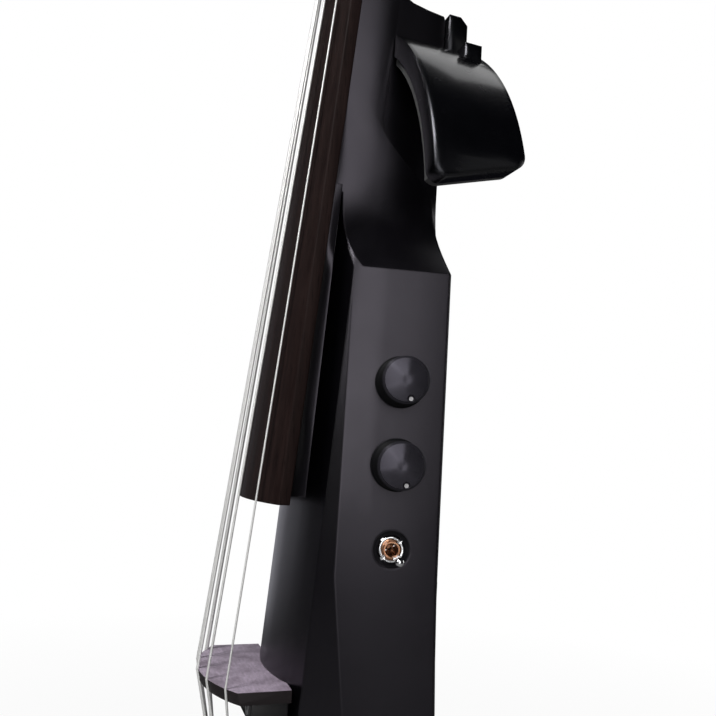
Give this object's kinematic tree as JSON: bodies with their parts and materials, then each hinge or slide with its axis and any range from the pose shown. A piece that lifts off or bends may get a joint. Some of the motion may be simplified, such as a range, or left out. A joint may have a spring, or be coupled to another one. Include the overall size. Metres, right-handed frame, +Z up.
{
  "type": "electric cello",
  "caption": "Slim solid-body electric cello: upright neck-through body, arched fingerboard, flat ebony bridge, steel strings, side knobs and switch, curved bout wing, geared machines, endpin.",
  "frame": {"origin": "mouth of the stand socket in the middle of the back", "axes": "+X to the treble side, -Y to the strings and the player's bow, +Z up the neck"},
  "size_m": [0.1039, 0.137, 1.1577],
  "materials": {
    "satin_lacquer": "satin black lacquer over maple",
    "gloss_lacquer": "high gloss black lacquer",
    "ebony_board": "oiled dark brown ebony",
    "ebony_bridge": "bare ebony, purple brown",
    "ebony_nut": "polished ebony",
    "black_plastic": "moulded matt",
    "string_steel": "flat-wound steel",
    "brass": "turned",
    "black_metal": "black anodised",
    "screw_steel": "blackened steel",
    "liner_rubber": "soft matt rubber",
    "knob_black": "black anodised, turned",
    "dot_white": "white enamel",
    "pot_metal": "tinned",
    "switch_brass": "copper brown",
    "chrome_parts": "polished",
    "endpin_steel": "brushed",
    "tip_rubber": "matt",
    "machine_black": "black plated",
    "post_steel": "turned",
    "button_black": "moulded"
  },
  "bodies": {
    "cello": {"body": "satin_lacquer", "neck": "satin_lacquer", "fingerboard": "ebony_board", "board_support": "satin_lacquer", "nut": "ebony_nut", "bridge": "ebony_bridge", "bridge_base": "black_plastic", "bridge_screws": "screw_steel", "string_1": "string_steel", "string_2": "string_steel", "string_3": "string_steel", "string_4": "string_steel", "string_5": "string_steel", "string_balls": "brass", "tail_anchor": "black_metal", "tail_screws": "screw_steel", "bout_wing": "gloss_lacquer", "bout_liner": "liner_rubber", "bout_bracket": "gloss_lacquer", "bout_screws": "screw_steel", "volume_pot": "pot_metal", "tone_pot": "pot_metal", "switch_body": "switch_brass", "switch_nut": "chrome_parts", "jack_socket": "chrome_parts", "jack_nut": "chrome_parts", "stand_plate": "black_metal", "stand_screws": "screw_steel", "endpin_collar": "black_metal", "tuner_housings": "machine_black", "tuner_screws": "screw_steel", "back_cover": "black_plastic", "cover_screws": "screw_steel"},
    "volume_knob": {"volume_knob": "knob_black", "volume_dot": "dot_white"},
    "tone_knob": {"tone_knob": "knob_black", "tone_dot": "dot_white"},
    "switch_lever": {"switch_lever": "chrome_parts"},
    "endpin": {"endpin_rod": "endpin_steel", "endpin_tip": "tip_rubber"},
    "endpin_screw": {"endpin_screw": "screw_steel"},
    "post_1": {"tuner_post_1": "post_steel"},
    "button_1": {"tuner_button_1": "button_black"},
    "post_2": {"tuner_post_2": "post_steel"},
    "button_2": {"tuner_button_2": "button_black"},
    "post_3": {"tuner_post_3": "post_steel"},
    "button_3": {"tuner_button_3": "button_black"},
    "post_4": {"tuner_post_4": "post_steel"},
    "button_4": {"tuner_button_4": "button_black"},
    "post_5": {"tuner_post_5": "post_steel"},
    "button_5": {"tuner_button_5": "button_black"}
  },
  "joints": [
    {"name": "volume_turn", "type": "hinge", "parent": "cello", "child": "volume_knob", "pos_m": [0.03572, -0.03029, 0.095], "axis": [0.9744, -0.225, 0], "range_deg": [0, 300]},
    {"name": "tone_turn", "type": "hinge", "parent": "cello", "child": "tone_knob", "pos_m": [0.03572, -0.03029, 0.063], "axis": [0.9744, -0.225, 0], "range_deg": [0, 300]},
    {"name": "lever_throw", "type": "hinge", "parent": "cello", "child": "switch_lever", "pos_m": [0.03085, -0.02917, 0.031], "axis": [-0.2004, -0.8682, -0.454], "range_deg": [0, 26]},
    {"name": "endpin_slide", "type": "slide", "parent": "cello", "child": "endpin", "axis": [0, 0, -1], "range_m": [-0.058, 0.12]},
    {"name": "endpin_screw_turn", "type": "hinge", "parent": "cello", "child": "endpin_screw", "pos_m": [0, -0.04805, -0.231], "axis": [0, -1, 0], "range_deg": [0, 360]},
    {"name": "button_1_turn", "type": "hinge", "parent": "cello", "child": "button_1", "pos_m": [-0.014, 0.01246, 0.70642], "axis": [-1, 0, 0], "continuous": true},
    {"name": "post_1_turn", "type": "hinge", "parent": "cello", "child": "post_1", "pos_m": [-0.014, -0.01347, 0.70531], "axis": [0, -0.958, 0.2867], "continuous": true},
    {"name": "button_2_turn", "type": "hinge", "parent": "cello", "child": "button_2", "pos_m": [-0.012, 0.02393, 0.74474], "axis": [-1, 0, 0], "continuous": true},
    {"name": "post_2_turn", "type": "hinge", "parent": "cello", "child": "post_2", "pos_m": [-0.012, -0.002, 0.74363], "axis": [0, -0.958, 0.2867], "continuous": true},
    {"name": "button_3_turn", "type": "hinge", "parent": "cello", "child": "button_3", "pos_m": [-0.01, 0.0354, 0.78307], "axis": [-1, 0, 0], "continuous": true},
    {"name": "post_3_turn", "type": "hinge", "parent": "cello", "child": "post_3", "pos_m": [-0.01, 0.00947, 0.78195], "axis": [0, -0.958, 0.2867], "continuous": true},
    {"name": "button_4_turn", "type": "hinge", "parent": "cello", "child": "button_4", "pos_m": [0.012, 0.02737, 0.75624], "axis": [1, 0, 0], "continuous": true},
    {"name": "post_4_turn", "type": "hinge", "parent": "cello", "child": "post_4", "pos_m": [0.012, 0.00144, 0.75513], "axis": [0, -0.958, 0.2867], "continuous": true},
    {"name": "button_5_turn", "type": "hinge", "parent": "cello", "child": "button_5", "pos_m": [0.014, 0.0159, 0.71792], "axis": [1, 0, 0], "continuous": true},
    {"name": "post_5_turn", "type": "hinge", "parent": "cello", "child": "post_5", "pos_m": [0.014, -0.01003, 0.71681], "axis": [0, -0.958, 0.2867], "continuous": true}
  ],
  "couplings": [
    {"joint": "post_1_turn", "follows": "button_1_turn", "ratio": 0.0625},
    {"joint": "post_2_turn", "follows": "button_2_turn", "ratio": 0.0625},
    {"joint": "post_3_turn", "follows": "button_3_turn", "ratio": 0.0625},
    {"joint": "post_4_turn", "follows": "button_4_turn", "ratio": -0.0625},
    {"joint": "post_5_turn", "follows": "button_5_turn", "ratio": -0.0625}
  ]
}
